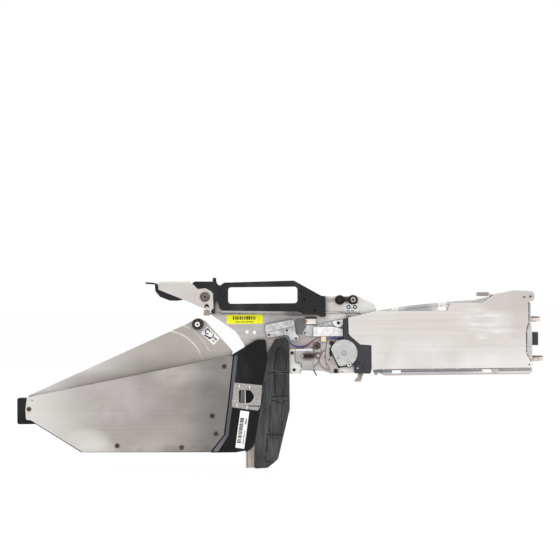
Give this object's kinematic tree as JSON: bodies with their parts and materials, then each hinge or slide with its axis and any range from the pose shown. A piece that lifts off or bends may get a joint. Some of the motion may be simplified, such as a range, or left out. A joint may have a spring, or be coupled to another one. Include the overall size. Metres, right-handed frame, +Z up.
{
  "type": "smt tape feeder",
  "caption": "Slim tape feeder with sheet-metal reel bin, carry handle, sprung release lever, waste-tape chute, peel motor and sprocket drive head with locating pins.",
  "frame": {"origin": "on the axis of the lower locating pin, level with the front edge of the head's plates", "axes": "+X along the tape's travel towards the machine, +Z up with the feeder upright in its slot, Y through the thickness with the side cover at -Y"},
  "size_m": [0.6834, 0.0215, 0.2482],
  "materials": {
    "satin_plate": "satin brushed",
    "brushed_cover": "brushed along X",
    "bin_sheet": "rolled sheet, handled",
    "black_moulding": "fine spark texture",
    "grey_moulding": "fine spark texture",
    "blue_grey_moulding": "matte",
    "black_handle": "matte",
    "zinc": "zinc plated",
    "stainless": "brushed",
    "dark_steel": "blackened",
    "bright_steel": "turned",
    "bronze": "oiled bronze",
    "white_plastic": "matte",
    "black_rubber": "ground",
    "board_green": "solder mask",
    "spring_wire": "oiled",
    "wire_sleeve": "insulated strands",
    "beige_nylon": "natural nylon"
  },
  "bodies": {
    "root": {"main_plate": "satin_plate", "head_housing": "satin_plate", "head_side_cover": "brushed_cover", "base_rail": "satin_plate", "locating_pins": "bright_steel", "front_connector": "blue_grey_moulding", "tape_track": "satin_plate", "nose_pin": "bright_steel", "index_motor": "zinc", "control_board": "board_green", "carry_handle": "black_handle", "lever_pivot": "bright_steel", "roller_axles": "bright_steel", "guide_bar": "bronze", "tape_channel": "satin_plate", "sensor_bracket": "zinc", "sensor_block": "white_plastic", "sensor_boss": "white_plastic", "sensor_plug": "white_plastic", "sensor_plug_latch": "black_moulding", "rail_bracket": "satin_plate", "motor_plate": "zinc", "peel_motor": "zinc", "peel_bracket": "zinc", "peel_cover": "zinc", "pinch_pivot": "bright_steel", "pinch_spring": "spring_wire", "fixed_pins": "bright_steel", "mechanism_screws": "dark_steel", "motor_bracket": "blue_grey_moulding", "wire_harness": "wire_sleeve", "wire_clamp": "beige_nylon", "bin_cover": "bin_sheet", "bin_back_plate": "bin_sheet", "bin_end_wall": "black_moulding", "bin_moulding": "black_moulding", "cover_screws": "bright_steel", "rear_screws": "dark_steel", "chute_cover": "grey_moulding", "chute_channel": "zinc"},
    "release_lever": {"release_lever": "brushed_cover", "lever_grip": "black_handle", "lever_link": "bronze"},
    "pull_rod": {"pull_rod": "bright_steel"},
    "lock_hook": {"lock_hook": "zinc"},
    "bin_latch": {"bin_latch": "stainless", "latch_grip": "grey_moulding"},
    "reel_roller": {"reel_roller": "black_rubber"},
    "guide_roller_rear": {"guide_roller_rear": "black_rubber"},
    "guide_roller_front": {"guide_roller_front": "black_rubber"},
    "tape_window": {"tape_window": "stainless"},
    "drive_pinion": {"drive_pinion": "bright_steel"},
    "idler_gear": {"idler_gear": "bronze"},
    "drive_sprocket": {"drive_sprocket": "bright_steel"},
    "peel_pinion": {"peel_pinion": "bright_steel"},
    "peel_idler": {"peel_idler": "bronze"},
    "peel_drive": {"peel_drive": "bright_steel"},
    "pinch_lever": {"pinch_lever": "bright_steel"},
    "pinch_wheel": {"pinch_wheel": "black_rubber"}
  },
  "joints": [
    {"name": "release_lever_turn", "type": "hinge", "parent": "root", "child": "release_lever", "pos_m": [-0.424, 0, 0.0843], "axis": [0, 1, 0], "range_deg": [0, 20], "stiffness_Nm_per_rad": 0.5},
    {"name": "pull_rod_slide", "type": "slide", "parent": "root", "child": "pull_rod", "axis": [-1, 0, 0], "range_m": [0, 0.007]},
    {"name": "lock_hook_turn", "type": "hinge", "parent": "root", "child": "lock_hook", "pos_m": [-0.222, 0, -0.008], "axis": [0, -1, 0], "range_deg": [0, 20]},
    {"name": "bin_latch_slide", "type": "slide", "parent": "root", "child": "bin_latch", "axis": [-1, 0, 0], "range_m": [0, 0.004], "stiffness_N_per_m": 250},
    {"name": "reel_roller_spin", "type": "hinge", "parent": "root", "child": "reel_roller", "pos_m": [-0.4342, 0, 0.0487], "axis": [0, 1, 0], "continuous": true},
    {"name": "guide_roller_rear_spin", "type": "hinge", "parent": "root", "child": "guide_roller_rear", "pos_m": [-0.2489, 0, 0.0785], "axis": [0, 1, 0], "continuous": true},
    {"name": "guide_roller_front_spin", "type": "hinge", "parent": "root", "child": "guide_roller_front", "pos_m": [-0.2318, 0, 0.0785], "axis": [0, 1, 0], "continuous": true},
    {"name": "tape_window_turn", "type": "hinge", "parent": "root", "child": "tape_window", "pos_m": [-0.0024, 0, 0.0804], "axis": [0, 1, 0], "range_deg": [0, 60]},
    {"name": "drive_sprocket_spin", "type": "hinge", "parent": "root", "child": "drive_sprocket", "pos_m": [-0.0315, 0, 0.0628], "axis": [0, 1, 0], "continuous": true},
    {"name": "idler_gear_spin", "type": "hinge", "parent": "root", "child": "idler_gear", "pos_m": [-0.0587, 0, 0.04376], "axis": [0, 1, 0], "continuous": true},
    {"name": "drive_pinion_spin", "type": "hinge", "parent": "root", "child": "drive_pinion", "pos_m": [-0.07862, 0, 0.03651], "axis": [0, 1, 0], "continuous": true},
    {"name": "peel_drive_spin", "type": "hinge", "parent": "root", "child": "peel_drive", "pos_m": [-0.29024, 0, 0.00406], "axis": [0, 1, 0], "continuous": true},
    {"name": "peel_idler_spin", "type": "hinge", "parent": "root", "child": "peel_idler", "pos_m": [-0.2633, 0, 0.0007], "axis": [0, 1, 0], "continuous": true},
    {"name": "peel_pinion_spin", "type": "hinge", "parent": "root", "child": "peel_pinion", "pos_m": [-0.2446, 0, 0.0095], "axis": [0, 1, 0], "continuous": true},
    {"name": "pinch_lever_turn", "type": "hinge", "parent": "root", "child": "pinch_lever", "pos_m": [-0.2794, 0, 0.019], "axis": [0, -1, 0], "range_deg": [0, 8], "stiffness_Nm_per_rad": 0.1, "deforming": ["pinch_spring"]},
    {"name": "pinch_wheel_spin", "type": "hinge", "parent": "pinch_lever", "child": "pinch_wheel", "pos_m": [-0.2781, 0, 0.0064], "axis": [0, 1, 0], "continuous": true}
  ],
  "couplings": [
    {"joint": "pull_rod_slide", "follows": "release_lever_turn", "m_per_rad": 0.02},
    {"joint": "lock_hook_turn", "follows": "release_lever_turn", "ratio": 1},
    {"joint": "idler_gear_spin", "follows": "drive_sprocket_spin", "ratio": -1.2},
    {"joint": "drive_pinion_spin", "follows": "drive_sprocket_spin", "ratio": 3},
    {"joint": "peel_idler_spin", "follows": "peel_drive_spin", "ratio": -1.0303},
    {"joint": "peel_pinion_spin", "follows": "peel_drive_spin", "ratio": 1.8889},
    {"joint": "pinch_wheel_spin", "follows": "peel_drive_spin", "ratio": -1.7857}
  ]
}
